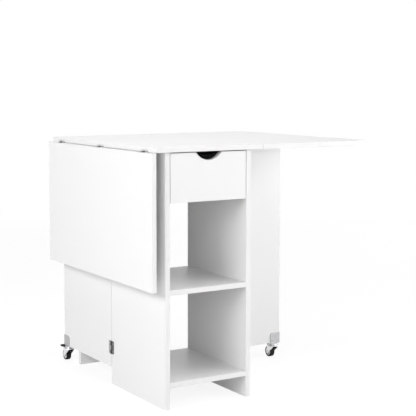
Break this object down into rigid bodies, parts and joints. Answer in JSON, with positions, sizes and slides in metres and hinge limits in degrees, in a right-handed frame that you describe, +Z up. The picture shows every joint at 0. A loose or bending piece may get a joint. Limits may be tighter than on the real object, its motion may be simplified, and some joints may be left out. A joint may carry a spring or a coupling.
{
  "type": "rolling folding table",
  "caption": "Narrow open-shelf carcass with drawer, drop leaves either side on swing-out gates that roll on braked castors",
  "frame": {"origin": "on the floor, in the middle of the bounding box of the table as it stands: left leaf hanging, right leaf raised on its gate", "axes": "+Z up; +Y runs back from the drawer's front to the rear end panel; +X to the right as seen from the drawer side, towards the raised leaf"},
  "size_m": [0.7632, 0.712, 0.75],
  "materials": {
    "white_board": "white melamine film, satin",
    "white_hardboard": "white hardboard, matt",
    "runner_plastic": "matt",
    "hinge_steel": "zinc plated",
    "pin_steel": "plain steel",
    "zinc_steel": "bright zinc plated",
    "hub_plastic": "semi gloss",
    "tyre_rubber": "matt",
    "pedal_plastic": "satin"
  },
  "bodies": {
    "carcass": {"centre_top": "white_board", "left_side_panel": "white_board", "right_side_panel": "white_board", "middle_shelf": "white_board", "bottom_shelf": "white_board", "drawer_bay_rail": "white_board", "lower_back_rail": "white_board", "rear_end_panel": "white_board", "upper_stretcher": "white_board", "lower_stretcher": "white_board", "left_drawer_runner": "runner_plastic", "right_drawer_runner": "runner_plastic", "leaf_hinge_top_plates": "hinge_steel", "leaf_hinge_pins": "pin_steel", "gate_hinge_wall_plates": "hinge_steel", "gate_hinge_pins": "pin_steel"},
    "drawer": {"drawer_front": "white_board", "drawer_left_side": "white_board", "drawer_right_side": "white_board", "drawer_back": "white_board", "drawer_bottom": "white_hardboard"},
    "left_leaf": {"left_leaf": "white_board", "left_leaf_hinge_plates": "hinge_steel"},
    "left_gate": {"left_gate": "white_board", "left_gate_hinge_plates": "hinge_steel", "left_castor_bracket": "zinc_steel", "left_castor_race": "zinc_steel", "left_castor_kingpin": "pin_steel"},
    "left_fork": {"left_castor_fork": "zinc_steel", "left_castor_axle": "pin_steel", "left_castor_pedal_pin": "pin_steel"},
    "left_wheel": {"left_castor_hub": "hub_plastic", "left_castor_tyre": "tyre_rubber"},
    "left_pedal": {"left_castor_brake_pedal": "pedal_plastic"},
    "right_leaf": {"right_leaf": "white_board", "right_leaf_hinge_plates": "hinge_steel"},
    "right_gate": {"right_gate": "white_board", "right_gate_hinge_plates": "hinge_steel", "right_castor_bracket": "zinc_steel", "right_castor_race": "zinc_steel", "right_castor_kingpin": "pin_steel"},
    "right_fork": {"right_castor_fork": "zinc_steel", "right_castor_axle": "pin_steel", "right_castor_pedal_pin": "pin_steel"},
    "right_wheel": {"right_castor_hub": "hub_plastic", "right_castor_tyre": "tyre_rubber"},
    "right_pedal": {"right_castor_brake_pedal": "pedal_plastic"}
  },
  "joints": [
    {"name": "left_leaf_hinge", "type": "hinge", "parent": "carcass", "child": "left_leaf", "pos_m": [-0.3659, -0.0085, 0.7343], "axis": [0, 1, 0], "range_deg": [0, 90]},
    {"name": "right_leaf_hinge", "type": "hinge", "parent": "carcass", "child": "right_leaf", "pos_m": [-0.0089, -0.0085, 0.7343], "axis": [0, -1, 0], "range_deg": [0, 3]},
    {"name": "left_gate_hinge", "type": "hinge", "parent": "carcass", "child": "left_gate", "pos_m": [-0.3339, -0.00775, 0.393], "axis": [0, 0, 1], "range_deg": [0, 5]},
    {"name": "right_gate_hinge", "type": "hinge", "parent": "carcass", "child": "right_gate", "pos_m": [-0.0409, -0.00775, 0.393], "axis": [0, 0, 1], "range_deg": [0, 90]},
    {"name": "drawer_slide", "type": "slide", "parent": "carcass", "child": "drawer", "axis": [0, -1, 0], "range_m": [0, 0.22]},
    {"name": "left_castor_swivel", "type": "hinge", "parent": "left_gate", "child": "left_fork", "pos_m": [-0.3239, 0.318, 0.044], "axis": [0, 0, 1], "continuous": true},
    {"name": "left_wheel_spin", "type": "hinge", "parent": "left_fork", "child": "left_wheel", "pos_m": [-0.3239, 0.337, 0.018], "axis": [1, 0, 0], "continuous": true},
    {"name": "left_brake_press", "type": "hinge", "parent": "left_fork", "child": "left_pedal", "pos_m": [-0.3239, 0.3285, 0.0382], "axis": [-1, 0, 0], "range_deg": [0, 10]},
    {"name": "right_castor_swivel", "type": "hinge", "parent": "right_gate", "child": "right_fork", "pos_m": [0.28485, 0.00225, 0.044], "axis": [0, 0, 1], "continuous": true},
    {"name": "right_wheel_spin", "type": "hinge", "parent": "right_fork", "child": "right_wheel", "pos_m": [0.28485, 0.02125, 0.018], "axis": [1, 0, 0], "continuous": true},
    {"name": "right_brake_press", "type": "hinge", "parent": "right_fork", "child": "right_pedal", "pos_m": [0.28485, 0.01275, 0.0382], "axis": [-1, 0, 0], "range_deg": [0, 10]}
  ]
}
